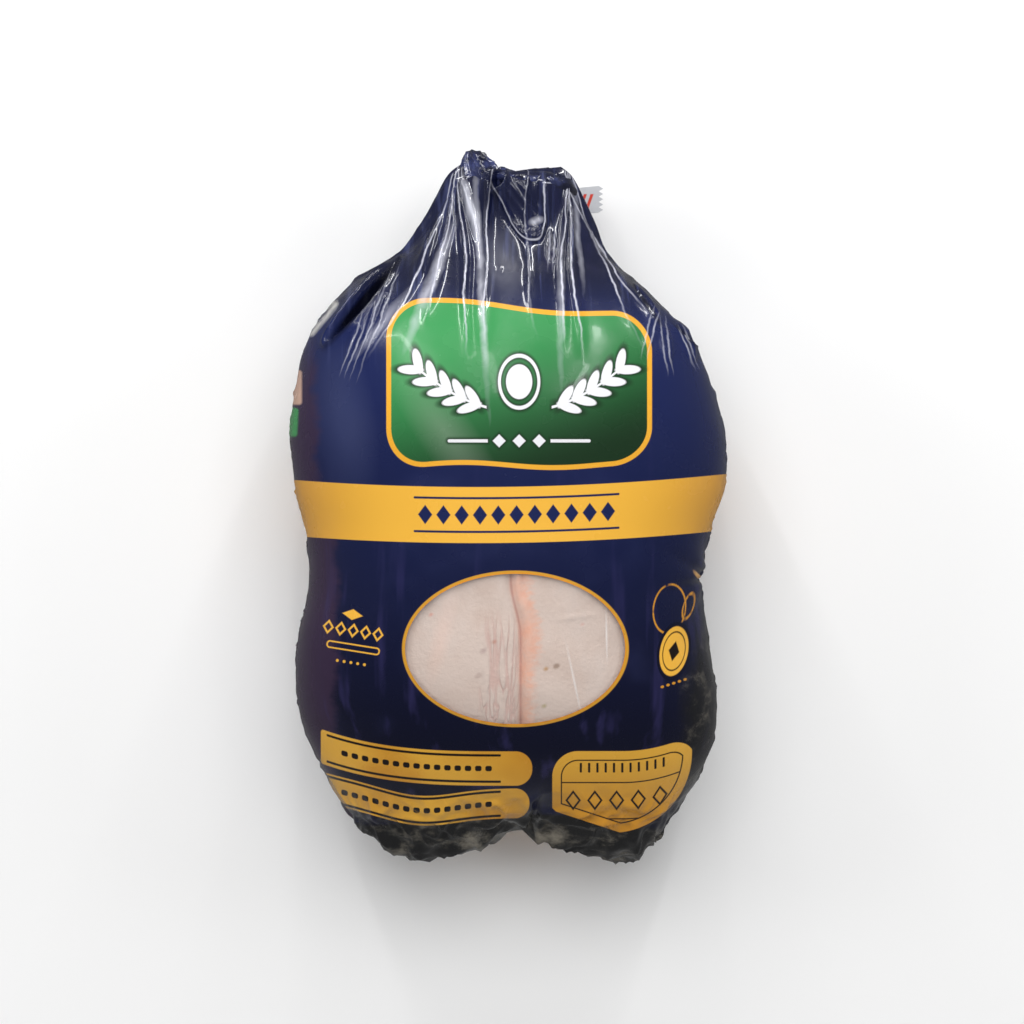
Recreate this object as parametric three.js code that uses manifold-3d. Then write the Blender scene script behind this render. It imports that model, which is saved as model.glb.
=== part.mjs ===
// Whole raw chicken in a printed film bag, lying on its back with the shown side up.
// Millimetres, +X to the right of the shown side, +Y towards the gathered neck, +Z up.
import * as THREE from 'three';
import Module from 'manifold-3d';

const wasm = await Module();
wasm.setup();

const { smoothstep } = THREE.MathUtils;

// driving sizes of the pack
const packHeight = 104;
const filmThickness = 1.2;
const pieceGap = 0.6;
const seatDepth = 6;

// outline of the filled bag from neck to foot: place along Y, left edge, right edge
const outline = [
  [116.5, -13, 17],
  [113.5, -17.5, 20.5],
  [106, -22.5, 24.5],
  [97, -29, 29],
  [87, -38, 34.5],
  [78, -54, 44.5],
  [66, -65.5, 58.5],
  [52, -72, 68],
  [28, -76, 75],
  [8, -75, 76],
  [-10, -70.5, 70.5],
  [-28, -70, 67.5],
  [-48, -74, 70],
  [-70, -73.5, 73.5],
  [-86, -68, 71],
  [-102, -60, 62.5],
  [-114, -50.5, 54],
  [-121, -42, 45],
  [-124.8, -31, 30],
];

// how the upper and lower side slope to the ends, as shares of the height
const upperSlope = { neck: 0.54, neckFrom: 10, neckTo: 106, foot: 0.66, footFrom: 40, footTo: 122 };
const shoulderPower = 1.6;
const lowerSlope = { neck: 0.36, neckFrom: 32, neckTo: 98, foot: 0.2, footFrom: 70, footTo: 122 };
const endRound = { neckFrom: 107, neckTo: 118.5, footFrom: 104, footTo: 125.5, flattest: 0.25 };
const widestShare = 0.44;
const sectionRoundness = 2.35;

// folds that run from the gathered neck over the shoulders, and lower ones up from the foot
const foldCount = 15;
const foldHeight = 5;
const foldWidth = 0.13;
const foldUnevenness = 0.12;
const foldReach = [64, 34, 80, 48];
const footFold = { height: 2.2, reachShare: 0.5 };

// shallow notch between the two lobes at the foot
const notch = { x: 4, halfWidth: 22, depth: 9.3, from: 94 };

// the bird, counted in rows of the outline, and its breast crease, which fades in and out
// between two places along Y and shows where the skin faces up
const birdRows = { first: 5.2, last: 15.7, domeShare: 0.18, tipShare: 0.02 };
const crease = { x: 4, width: 2.6, depth: 2.4, from: [0, -20], to: [-80, -105], tilt: [0.3, 0.8] };

// oval window over the breast
const windowOval = { x: 2.5, y: -47.8, halfWidth: 36.8, halfLength: 25.1, pieces: 30 };
const windowGap = 0.35;

// film gathered at the neck: a bunch, a folded ridge and a tail turned back behind
const bunchPath = [[-5, 104, 44], [-9, 113, 45], [-11.2, 120, 44], [-11.4, 124, 43]];
const bunchSize = { width: [9, 7.2, 5, 3.2], depth: [8, 7.5, 5.5, 3.2], pleats: 6 };
const ridgePath = [[-4.5, 116, 46], [2, 113.2, 48], [11, 112, 48], [19, 111.2, 46], [22.5, 109.5, 42]];
const ridgeSize = { width: [2.8, 3.4, 3.2, 3.2, 2], depth: [4, 6, 6.5, 6, 3], pleats: 0 };
const tailPath = [
  [4, 96, 44], [5, 106, 42], [6, 111, 31], [6, 107.5, 18.5], [6, 101, 16], [6, 93, 15.5], [7, 83, 11], [8, 72, 6],
];
const tailSize = {
  width: [15, 13, 10, 8.5, 8.5, 8.5, 13, 18],
  depth: [8, 8, 6.5, 5, 5, 5, 4, 2.6],
  pleats: 7,
};

const pleatDepth = 0.14;

// tape round the tail, its flag showing beside the neck
const tape = { x: 6, y: 99, z: 16, length: 9.5, thickness: 1, gap: 1 };
const flag = { bend: 22.5, end: 34, rise: 10, slant: 1, teeth: 5, tooth: 1.6 };

const navyFilm = new THREE.MeshStandardMaterial({ color: 0x1f2450, roughness: 0.22, metalness: 0 });
const rawSkin = new THREE.MeshStandardMaterial({ color: 0xdcc6b8, roughness: 0.45, metalness: 0 });
const clearFilm = new THREE.MeshStandardMaterial({ color: 0xf0f4f4, roughness: 0.08, metalness: 0 });
const whiteTape = new THREE.MeshStandardMaterial({ color: 0xe2e2e2, roughness: 0.6, metalness: 0 });

function signedPower(value, power) {
  return Math.sign(value) * Math.abs(value) ** power;
}

function bell(offset, width) {
  return Math.exp(-((offset / width) ** 2));
}

// smooth value between the rows of a list, at a place counted in rows
function between(values, place) {
  const row = Math.min(Math.floor(place), values.length - 2);
  const value = (index) => values[Math.max(0, Math.min(values.length - 1, index))];
  const share = place - row;
  const slopeIn = (value(row + 1) - value(row - 1)) / 2;
  const slopeOut = (value(row + 2) - value(row)) / 2;
  const rise = share * share * (3 - 2 * share);
  const early = share * (1 - share) ** 2;
  const late = share * share * (share - 1);
  return value(row) + (value(row + 1) - value(row)) * rise + slopeIn * early + slopeOut * late;
}

// height of the upper and lower side at a place along Y
function heightsAt(y) {
  const neckFall = smoothstep(y, upperSlope.neckFrom, upperSlope.neckTo) ** shoulderPower;
  const footFall = smoothstep(-y, upperSlope.footFrom, upperSlope.footTo) ** 2;
  const upper = 1 - (1 - upperSlope.neck) * neckFall - (1 - upperSlope.foot) * footFall;
  const neckRise = smoothstep(y, lowerSlope.neckFrom, lowerSlope.neckTo);
  const footRise = smoothstep(-y, lowerSlope.footFrom, lowerSlope.footTo) ** 2;
  const lower = lowerSlope.neck * neckRise + lowerSlope.foot * footRise;
  const top = packHeight * upper;
  const under = (packHeight + seatDepth) * lower - seatDepth;
  const neckEnd = Math.max(0, (y - endRound.neckFrom) / (endRound.neckTo - endRound.neckFrom));
  const footEnd = Math.max(0, (-y - endRound.footFrom) / (endRound.footTo - endRound.footFrom));
  const dome = Math.sqrt(Math.max(0, 1 - Math.max(neckEnd, footEnd) ** 2));
  const keep = endRound.flattest + (1 - endRound.flattest) * dome;
  const middle = under + (top - under) * widestShare;
  return { top: middle + (top - middle) * keep, under: middle - (middle - under) * keep, middle };
}

// outward height of the folds at an angle round the pack
function foldsAt(angle, y) {
  const neckY = outline[0][0];
  const footY = outline[outline.length - 1][0];
  let height = 0;
  for (let fold = 0; fold < foldCount; fold++) {
    const middle = (2 * Math.PI * fold) / foldCount + foldUnevenness * Math.sin(5 * fold);
    const away = Math.atan2(Math.sin(angle - middle), Math.cos(angle - middle));
    const reach = foldReach[fold % foldReach.length];
    const neckRise = foldHeight * smoothstep(y, neckY - reach, neckY);
    const footRise = footFold.height * smoothstep(-y, -footY - reach * footFold.reachShare, -footY);
    height = Math.max(height, (neckRise + footRise) * bell(away, foldWidth));
  }
  return height;
}

// skin over rings of equal point count, closed by a fan at both ends
function loft(rings) {
  const count = rings[0].length;
  const lastStart = (rings.length - 1) * count;
  const middleOf = (ring) => ring.reduce((sum, point) => sum.add(point), new THREE.Vector3())
    .divideScalar(count);
  const points = [...rings.flat(), middleOf(rings[0]), middleOf(rings[rings.length - 1])];
  const faces = [];
  for (let side = 0; side < count; side++) {
    const next = (side + 1) % count;
    for (let near = 0; near < lastStart; near += count) {
      const far = near + count;
      faces.push(near + side, near + next, far + side);
      faces.push(near + next, far + next, far + side);
    }
    faces.push(points.length - 2, next, side);
    faces.push(points.length - 1, lastStart + side, lastStart + next);
  }
  const geometry = new THREE.BufferGeometry();
  const numbers = points.flatMap((point) => point.toArray());
  geometry.setAttribute('position', new THREE.Float32BufferAttribute(numbers, 3));
  geometry.setIndex(faces);
  return geometry;
}

// ring round the pack at a place counted in outline rows, moved inwards by an inset
function packRing(place, { sides, crowding, inset = 0, shrink = 1, folds = false }) {
  const [y, left, right] = [0, 1, 2].map((column) => between(outline.map((row) => row[column]), place));
  const { top, under, middle } = heightsAt(y);
  const halfWidth = (right - left) / 2 - inset;
  const ring = [];
  for (let side = 0; side < sides; side++) {
    const turn = (2 * Math.PI * side) / sides;
    const angle = turn + crowding * Math.cos(turn);
    const across = signedPower(Math.cos(angle), 2 / sectionRoundness) * halfWidth;
    const halfHeight = Math.sin(angle) > 0 ? top - middle - inset : middle - under - inset;
    const up = signedPower(Math.sin(angle), 2 / sectionRoundness) * halfHeight;
    const fold = folds ? foldsAt(angle, y) : 0;
    const grow = shrink + fold / Math.hypot(across, up);
    const x = (left + right) / 2 + across * grow;
    const z = Math.max(middle + up * grow, inset);
    const lift = notch.depth * smoothstep(-y, notch.from, -outline[outline.length - 1][0]);
    ring.push(new THREE.Vector3(x, y + lift * bell(x - notch.x, notch.halfWidth), z));
  }
  return ring;
}

function filledBag() {
  const ringCount = 40;
  const rings = [];
  for (let ring = 0; ring <= ringCount; ring++) {
    const place = ((outline.length - 1) * ring) / ringCount;
    rings.push(packRing(place, { sides: 64, crowding: 0.3, folds: true }));
  }
  return loft(rings);
}

// hollow that the bird fills, from the shoulders to the foot, with domed ends
function birdHollow() {
  const ringCount = 22;
  const rings = [];
  for (let ring = 0; ring <= ringCount; ring++) {
    const share = ring / ringCount;
    const fromEnd = Math.min(1, Math.min(share, 1 - share) / birdRows.domeShare + birdRows.tipShare);
    const shrink = Math.sqrt(1 - (1 - fromEnd) ** 2);
    const place = birdRows.first + (birdRows.last - birdRows.first) * share;
    rings.push(packRing(place, { sides: 48, crowding: 0.7, inset: filmThickness, shrink }));
  }
  return loft(rings);
}

// the bird is the hollow moved inwards by the gap, with a crease along its breast
function chickenBody() {
  const body = birdHollow();
  body.computeVertexNormals();
  const points = body.attributes.position;
  const normals = body.attributes.normal;
  for (let index = 0; index < points.count; index++) {
    const point = new THREE.Vector3().fromBufferAttribute(points, index);
    const normal = new THREE.Vector3().fromBufferAttribute(normals, index);
    point.addScaledVector(normal, -pieceGap);
    const begun = smoothstep(-point.y, -crease.from[0], -crease.from[1]);
    const along = begun * smoothstep(point.y, crease.to[1], crease.to[0]);
    const onTop = smoothstep(normal.z, ...crease.tilt);
    point.z -= crease.depth * along * onTop * bell(point.x - crease.x, crease.width);
    points.setXYZ(index, point.x, point.y, point.z);
  }
  return body;
}

// tube along a path whose section is an oval with pleats; "across" is its width direction
function pleatedTube(path, { width, depth, pleats }, across) {
  const curve = new THREE.CatmullRomCurve3(path.map((point) => new THREE.Vector3(...point)));
  const ringCount = 3 * (path.length - 1);
  const sides = Math.max(14, 4 * pleats);
  const rings = [];
  for (let ring = 0; ring <= ringCount; ring++) {
    const share = ring / ringCount;
    const centre = curve.getPoint(share);
    const forward = curve.getTangent(share);
    const upward = new THREE.Vector3().crossVectors(forward, across).normalize();
    const sideways = new THREE.Vector3().crossVectors(upward, forward);
    const halfWidth = between(width, share * (path.length - 1));
    const halfDepth = between(depth, share * (path.length - 1));
    rings.push(Array.from({ length: sides }, (_, side) => {
      const angle = (2 * Math.PI * side) / sides;
      const pleat = 1 + (pleats ? pleatDepth * Math.cos(pleats * angle) : 0);
      return centre.clone()
        .addScaledVector(sideways, halfWidth * pleat * Math.cos(angle))
        .addScaledVector(upward, halfDepth * pleat * Math.sin(angle));
    }));
  }
  return loft(rings);
}

function ovalPrism(shrink) {
  const { x, y, halfWidth, halfLength, pieces } = windowOval;
  const oval = new THREE.Shape();
  oval.absellipse(x, y, halfWidth - shrink, halfLength - shrink, 0, 2 * Math.PI);
  const prism = new THREE.ExtrudeGeometry(oval, {
    depth: packHeight, bevelEnabled: false, curveSegments: pieces,
  });
  return prism.translate(0, 0, packHeight / 2);
}

// size of the hole that the tape leaves round the tail
function tapeHole() {
  const pleatRoom = 1 + pleatDepth;
  const straightPart = 4;
  return {
    halfWidth: tailSize.width[straightPart] * pleatRoom + tape.gap,
    halfHeight: tailSize.depth[straightPart] * pleatRoom + 2 * tape.gap,
  };
}

function tapeLoop() {
  const { halfWidth, halfHeight } = tapeHole();
  const loop = new THREE.Shape();
  loop.absellipse(0, 0, halfWidth + tape.thickness, halfHeight + tape.thickness, 0, 2 * Math.PI);
  const hole = new THREE.Path();
  hole.absellipse(0, 0, halfWidth, halfHeight, 0, 2 * Math.PI);
  loop.holes.push(hole);
  const band = new THREE.ExtrudeGeometry(loop, { depth: tape.length, bevelEnabled: false, curveSegments: 14 });
  band.rotateX(Math.PI / 2);
  return band.translate(tape.x, tape.y + tape.length / 2, tape.z);
}

// flag of tape that rises to a bend and ends in teeth
function tapeFlag() {
  const start = tape.x + tapeHole().halfWidth + tape.thickness / 2;
  const low = tape.y - tape.length / 2;
  const pitch = tape.length / flag.teeth;
  const outlineShape = new THREE.Shape();
  const endLow = low + flag.rise + flag.slant;
  outlineShape.moveTo(start, low);
  outlineShape.lineTo(flag.bend, low + flag.rise);
  for (let tooth = 0; tooth < flag.teeth; tooth++) {
    outlineShape.lineTo(flag.end - flag.tooth, endLow + tooth * pitch);
    outlineShape.lineTo(flag.end, endLow + (tooth + 0.5) * pitch);
  }
  outlineShape.lineTo(flag.end - flag.tooth, endLow + tape.length);
  outlineShape.lineTo(flag.bend, low + flag.rise + tape.length);
  outlineShape.lineTo(start, low + tape.length);
  const plate = new THREE.ExtrudeGeometry(outlineShape, { depth: tape.thickness, bevelEnabled: false });
  return plate.translate(0, 0, tape.z - tape.thickness / 2);
}

// solid from a closed geometry, its shared corners merged
function asSolid(geometry) {
  const points = geometry.attributes.position;
  const places = new Map();
  const numbers = [];
  const merged = [];
  for (let index = 0; index < points.count; index++) {
    const corner = [points.getX(index), points.getY(index), points.getZ(index)];
    const key = corner.map((value) => value.toFixed(4)).join();
    if (!places.has(key)) {
      places.set(key, numbers.length / 3);
      numbers.push(...corner);
    }
    merged.push(places.get(key));
  }
  const faces = geometry.index ? Array.from(geometry.index.array, (index) => merged[index]) : merged;
  return new wasm.Manifold(new wasm.Mesh({
    numProp: 3,
    vertProperties: new Float32Array(numbers),
    triVerts: new Uint32Array(faces),
  }));
}

function addNode(group, name, solid, material) {
  const { vertProperties, triVerts } = solid.getMesh();
  const geometry = new THREE.BufferGeometry();
  geometry.setAttribute('position', new THREE.BufferAttribute(vertProperties, 3));
  geometry.setIndex(new THREE.BufferAttribute(triVerts, 1));
  const mesh = new THREE.Mesh(geometry, material);
  mesh.name = name;
  group.add(mesh);
}

function buildPack() {
  const acrossX = new THREE.Vector3(1, 0, 0);
  const acrossY = new THREE.Vector3(0, 1, 0);
  const filled = asSolid(filledBag())
    .add(asSolid(pleatedTube(bunchPath, bunchSize, acrossX)))
    .add(asSolid(pleatedTube(ridgePath, ridgeSize, acrossY)))
    .add(asSolid(pleatedTube(tailPath, tailSize, acrossX)));
  const shell = filled.subtract(asSolid(birdHollow()));
  const group = new THREE.Group();
  addNode(group, 'bag', shell.subtract(asSolid(ovalPrism(0))), navyFilm);
  addNode(group, 'window', shell.intersect(asSolid(ovalPrism(windowGap))), clearFilm);
  addNode(group, 'chicken', asSolid(chickenBody()), rawSkin);
  addNode(group, 'tape', asSolid(tapeLoop()).add(asSolid(tapeFlag())), whiteTape);
  return group;
}

export default buildPack();
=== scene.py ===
"""Whole raw chicken in a printed film bag, lying on its back with the shown side up."""
import math

import bpy
import numpy as np
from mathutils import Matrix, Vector


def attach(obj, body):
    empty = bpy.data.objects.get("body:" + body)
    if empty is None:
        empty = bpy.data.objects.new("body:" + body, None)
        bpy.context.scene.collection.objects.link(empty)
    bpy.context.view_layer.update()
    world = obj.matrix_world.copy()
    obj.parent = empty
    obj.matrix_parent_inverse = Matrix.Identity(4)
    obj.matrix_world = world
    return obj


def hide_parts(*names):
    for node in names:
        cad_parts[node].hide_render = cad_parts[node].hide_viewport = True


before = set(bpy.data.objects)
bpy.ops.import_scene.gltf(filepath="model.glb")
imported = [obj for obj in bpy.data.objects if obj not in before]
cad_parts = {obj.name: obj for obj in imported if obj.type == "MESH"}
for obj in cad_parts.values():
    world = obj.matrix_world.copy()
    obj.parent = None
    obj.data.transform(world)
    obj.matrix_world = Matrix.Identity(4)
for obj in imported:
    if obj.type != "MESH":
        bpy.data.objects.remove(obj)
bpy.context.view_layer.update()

# All sizes below are in millimetres; meshes are scaled to metres as they are made.
METRE = 0.001

# outline of the filled bag from neck to foot: place along Y, left edge, right edge
OUTLINE = np.array([
    (116.5, -13, 17), (113.5, -17.5, 20.5), (106, -22.5, 24.5), (97, -29, 29), (87, -38, 34.5),
    (78, -54, 44.5), (66, -65.5, 58.5), (52, -72, 68), (28, -76, 75), (8, -75, 76),
    (-10, -70.5, 70.5), (-28, -70, 67.5), (-48, -74, 70), (-70, -73.5, 73.5),
    (-86, -68, 71), (-102, -60, 62.5), (-114, -50.5, 54), (-121, -42, 45), (-124.8, -31, 30),
])
NECK_Y, FOOT_Y = OUTLINE[0, 0], OUTLINE[-1, 0]

# height of the pack, how much of its round underside is pressed flat, thickness of the solid film
PACK_HEIGHT, SEAT_DEPTH, FILM = 104.0, 6.0, 1.2

# how high the upper side still is at the neck and the foot, and how late it falls to the neck
UPPER_NECK, UPPER_FOOT, SHOULDER_POWER = 0.54, 0.66, 1.6

# how far the underside rises at the neck and the foot, all as shares of the height
LOWER_NECK, LOWER_FOOT = 0.36, 0.2

# where the widest line lies between the underside and the top, and the power of the oval section
WIDEST_SHARE, ROUNDNESS = 0.44, 2.35

# notch between the two lobes of the foot: place across, half width, depth
NOTCH_X, NOTCH_HALF, NOTCH_DEPTH = 4.0, 22.0, 9.3

# where the neck and the foot start to close, and how long each closing end is
NECK_CLOSES, NECK_CLOSING, FOOT_CLOSES, FOOT_CLOSING = 107, 11.5, -104, 21.5

# film gathered at the neck: places along each tube, half widths and half depths there
BUNCH_PATH = ((-5, 104, 44), (-9, 113, 45), (-11.2, 120, 44), (-11.4, 124, 43))
BUNCH_WIDTH, BUNCH_DEPTH = (9, 7.2, 5, 3.2), (8, 7.5, 5.5, 3.2)
RIDGE_PATH = ((-4.5, 116, 46), (2, 113.2, 48), (11, 112, 48), (19, 111.2, 46), (22.5, 109.5, 42))
RIDGE_WIDTH, RIDGE_DEPTH = (2.8, 3.4, 3.2, 3.2, 2), (4, 6, 6.5, 6, 3)
TAIL_PATH = (
    (4, 96, 44), (5, 106, 42), (6, 111, 31), (6, 107.5, 18.5),
    (6, 101, 16), (6, 93, 15.5), (7, 83, 11), (8, 72, 6),
)
TAIL_WIDTH, TAIL_DEPTH = (15, 13, 10, 8.5, 8.5, 8.5, 13, 18), (8, 8, 6.5, 5, 5, 5, 4, 2.6)

# the camera looks straight down on the shown side; printed places are measured as it sees them
CAMERA_X, CAMERA_Y, CAMERA_FAR, WIDEST_Z = 1.4, -2.1, 1200.0, 45.0

# width of the picture at the height where the pack is widest
VIEW_WIDTH = 358.4

# oval window: its middle and its half sizes
WINDOW_X, WINDOW_Y, WINDOW_WIDE, WINDOW_LONG = 2.5, -47.8, 36.8, 25.1

# crease down the breast: its place across, how far it leans aside, and where it bends to do so
KEEL_U, KEEL_LEAN, KEEL_BEND = 4.4, 3.4, (-46, -26)

# loose folds of skin beside the crease: place across, upper end, height
SKIN_FOLDS = ((-8.0, -52, 0.5), (-4.6, -58, 0.35), (-1.7, -40, 0.6), (0.8, -50, 0.5), (8.6, -62, 0.4))

# what crumple() gives on average: film above it stands out, film below it sinks in
MEAN_CRUMPLE = 0.45


def smooth(value, start, end):
    """Share from 0 to 1 of the way between two values, eased at both ends."""
    share = np.clip((value - start) / (end - start), 0, 1)
    return share * share * (3 - 2 * share)


def bell(offset, width):
    """Round hump, 1 at its middle."""
    return np.exp(-((offset / width) ** 2))


def crest(offset, width, tip=0.3):
    """A fold's profile: a tight round crest between long falling sides."""
    soft = np.sqrt((offset / width) ** 2 + tip ** 2) - tip
    return np.exp(-soft)


def signed_power(value, power):
    """Power of the size of a value, with its sign kept."""
    return np.sign(value) * np.abs(value) ** power


def between(values, place):
    """Smooth value between the rows of a list, at places counted in rows."""
    values = np.asarray(values, float)
    last = len(values) - 1
    row = np.minimum(np.floor(place).astype(int), last - 1)
    share = place - row
    before, start = values[np.maximum(row - 1, 0)], values[row]
    end, after = values[row + 1], values[np.minimum(row + 2, last)]
    rise = share * share * (3 - 2 * share)
    early, late = share * (1 - share) ** 2, share * share * (share - 1)
    return start + (end - start) * rise + (end - before) / 2 * early + (after - start) / 2 * late


def heights(y):
    """Height of the upper side, lower side and widest line at a place along Y."""
    shoulder = smooth(y, 10, 106) ** SHOULDER_POWER
    upper = 1 - (1 - UPPER_NECK) * shoulder - (1 - UPPER_FOOT) * smooth(-y, 40, 122) ** 2
    lower = LOWER_NECK * smooth(y, 32, 98) + LOWER_FOOT * smooth(-y, 70, 122) ** 2
    top = PACK_HEIGHT * upper
    under = (PACK_HEIGHT + SEAT_DEPTH) * lower - SEAT_DEPTH
    neck_end = np.clip((y - NECK_CLOSES) / NECK_CLOSING, 0, 1)
    foot_end = np.clip((FOOT_CLOSES - y) / FOOT_CLOSING, 0, 1)
    keep = 0.25 + 0.75 * np.sqrt(1 - np.maximum(neck_end, foot_end) ** 2)
    middle = under + (top - under) * WIDEST_SHARE
    return middle + (top - middle) * keep, middle - (middle - under) * keep, middle


def pack_grid(rows, sides, crowding, first=0.0, last=None, inset=0.0, shrink=None):
    """Grid of points on the filled bag, or inside it by an inset, with its angles."""
    last = len(OUTLINE) - 1 if last is None else last
    fine = np.linspace(first, last, 2000)
    fine_y = between(OUTLINE[:, 0], fine)
    y_rows = np.linspace(fine_y[0], fine_y[-1], rows)
    place = np.interp(-y_rows, -fine_y, fine)
    left, right = between(OUTLINE[:, 1], place), between(OUTLINE[:, 2], place)
    top, under, middle = heights(y_rows)
    turn = np.arange(sides) * 2 * math.pi / sides
    angle = turn + crowding * np.cos(turn)
    c = signed_power(np.cos(angle), 2 / ROUNDNESS)
    s = signed_power(np.sin(angle), 2 / ROUNDNESS)
    keep = np.ones(rows) if shrink is None else shrink(np.linspace(0, 1, rows))
    half = ((right - left) / 2 - inset) * keep
    up = np.where(s > 0, (top - middle - inset)[:, None], (middle - under - inset)[:, None])
    x = (left + right)[:, None] / 2 + half[:, None] * c
    z = np.maximum(middle[:, None] + up * s * keep[:, None], inset)
    y = np.repeat(y_rows[:, None], sides, 1)
    lift = NOTCH_DEPTH * smooth(-y, 94, -FOOT_Y) * bell(x - NOTCH_X, NOTCH_HALF)
    return np.stack([x, y + lift, z], -1), np.broadcast_to(angle, x.shape)


def grid_normals(points):
    """Outward normals of a grid that closes round its second direction."""
    along = np.gradient(points, axis=0)
    around = np.roll(points, -1, 1) - np.roll(points, 1, 1)
    normal = np.cross(around, along)
    return normal / np.maximum(np.linalg.norm(normal, axis=-1, keepdims=True), 1e-9)


def as_seen(points):
    """Places on the print: as the camera sees them, then on down the sides by their drop."""
    x, y, z = points[..., 0], points[..., 1], points[..., 2]
    grow = CAMERA_FAR / (CAMERA_FAR - (z - WIDEST_Z))
    drop = np.maximum(0, WIDEST_Z - z)
    u = CAMERA_X + (x - CAMERA_X) * grow + np.sign(x) * drop
    return u, CAMERA_Y + (y - CAMERA_Y) * grow


def waves(points, scale, seed):
    """Smooth seeded noise from about -1 to 1, its swells about as wide as scale."""
    count = 14
    random = np.random.default_rng(seed)
    total = np.zeros(points.shape[:-1])
    for _ in range(count):
        direction = random.normal(size=3)
        direction *= random.uniform(0.6, 1.5) / (np.linalg.norm(direction) * scale) * math.pi
        total += np.sin(points @ direction + random.uniform(0, 2 * math.pi))
    return total / math.sqrt(count)


def crumple(points, scale, seed):
    """Sharp creases between flat facets, as in crushed film, from 0 to somewhat under 1."""
    total = np.zeros(points.shape[:-1])
    bent = points + 0.25 * scale * np.stack([waves(points, scale, seed + k) for k in (1, 2, 3)], -1)
    for level in range(2):
        ridge = 1 - np.minimum(1, np.abs(waves(bent, scale / 1.9 ** level, seed + 10 * level)) * 1.4)
        total += ridge / 2 ** level
    return total / 1.75


# folds of the shown side that run down from the gathered neck, as the camera sees them:
# place across at the neck, half way and at the far end, place along at the far end, height, width
NECK_FOLDS = (
    (-19.0, -31.0, -50.0, 50, 2.6, 1.5),
    (-17.7, -23.0, -30.0, 62, 3.2, 1.1),
    (-17.4, -15.2, -15.2, 50, 2.8, 0.9),
    (-16.0, -12.8, -10.2, 90, 2.0, 0.8),
    (-6.0, -7.6, -8.2, 54, 3.2, 1.2),
    (6.8, 6.8, 10.5, 56, 1.0, 1.2),
    (21.2, 19.0, 20.0, 52, 3.4, 0.9),
    (21.8, 22.6, 27.0, 50, 2.8, 0.9),
    (21.5, 34.0, 49.0, 52, 2.2, 1.2),
    (20.0, 32.0, 53.0, 64, 2.6, 1.1),
)

# slack film over the neck: its left edge at SWAG_LEVEL, how that edge slants, its right edge,
# where its lower rim starts to round and how far that rim hangs below there
SWAG_LEFT, SWAG_SLANT, SWAG_RIGHT, SWAG_LEVEL, SWAG_ROUND, SWAG_DROP = -1.0, 0.5, 13.2, 103, 104, 11.3

# slender dark pockets between folds on the shoulders: both ends, half width, depth
POCKETS = (
    ((-38.5, 86), (-63, 57), 2.4, 6.0),
    ((44.5, 76.5), (52, 65.5), 0.9, 2.6),
    ((59.5, 62.5), (65.5, 56.5), 0.8, 2.2),
    ((-1.5, 118), (-6.0, 110.5), 1.9, 5.0),
)

# slack loops of film beside them: both ends and half width
LOOPS = (
    ((-42.5, 75), (-50.4, 54), 1.7),
    ((-51.5, 63), (-56, 51), 1.4),
    ((51, 66), (48.5, 56), 1.5),
    ((54.5, 62), (56, 51), 1.3),
    ((61.5, 60), (64.7, 51.5), 1.1),
    ((15.4, 95), (15.2, 86), 1.2),
)

# soft sheens on the neck: middle, turn in degrees, half sizes, softness of the edge, strength
SHEENS = (
    (-13.0, 104.0, 12, 1.3, 9.0, 1.6, 0.75),
    (-9.4, 78.0, 3, 0.7, 21.0, 2.0, 0.75),
    (-3.0, 84.0, 10, 6.0, 10.0, 7.0, 0.1),
    (-27.0, 78.0, -22, 1.4, 15.0, 2.4, 0.65),
    (24.5, 96.0, 5, 0.6, 11.0, 1.4, 0.5),
    (9.8, 99.8, 20, 1.8, 1.0, 1.6, 0.6),
    (18.5, 70.0, 0, 0.8, 14.0, 2.0, 0.4),
    (-44.0, 64.0, -38, 1.2, 9.0, 2.2, 0.4),
)


def lens(u, v, start, end, half):
    """Signed distance to a slender lens between two places."""
    span = math.hypot(end[0] - start[0], end[1] - start[1])
    du, dv = (end[0] - start[0]) / span, (end[1] - start[1]) / span
    along = (u - start[0]) * du + (v - start[1]) * dv
    across = (v - start[1]) * du - (u - start[0]) * dv
    share = np.clip(along / span, 0, 1)
    return np.hypot(across, along - share * span) - half * np.sin(math.pi * share) ** 0.6


def neck_fold(u, v, start, middle, end, far, height, width):
    """Height of one fold that runs down from the gathered neck and widens as it fades."""
    share = np.clip((NECK_Y - v) / (NECK_Y - far), 0, 1)
    path = start * (1 - share) * (1 - 2 * share) + middle * 4 * share * (1 - share)
    path = path + end * share * (2 * share - 1) + 0.35 * np.sin(0.19 * v + end)
    fade = (1 - share) ** 0.8 * smooth(share, -0.02, 0.06)
    return height * fade * crest(u - path, width * (0.5 + 1.2 * share))


def back_folds(angle, v):
    """Height of the folds that run from the neck over the sides and the back."""
    random = np.random.default_rng(11)
    height = np.zeros(v.shape)
    folds = 20
    for fold in range(folds):
        middle = math.pi * (0.97 + 1.06 * (fold + random.uniform(-0.3, 0.3)) / (folds - 1))
        away = np.arctan2(np.sin(angle - middle), np.cos(angle - middle))
        rise = smooth(v, NECK_Y - random.uniform(34, 85), NECK_Y)
        height = np.maximum(height, random.uniform(2.4, 4.6) * rise * crest(away, 0.06))
    return height


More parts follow.
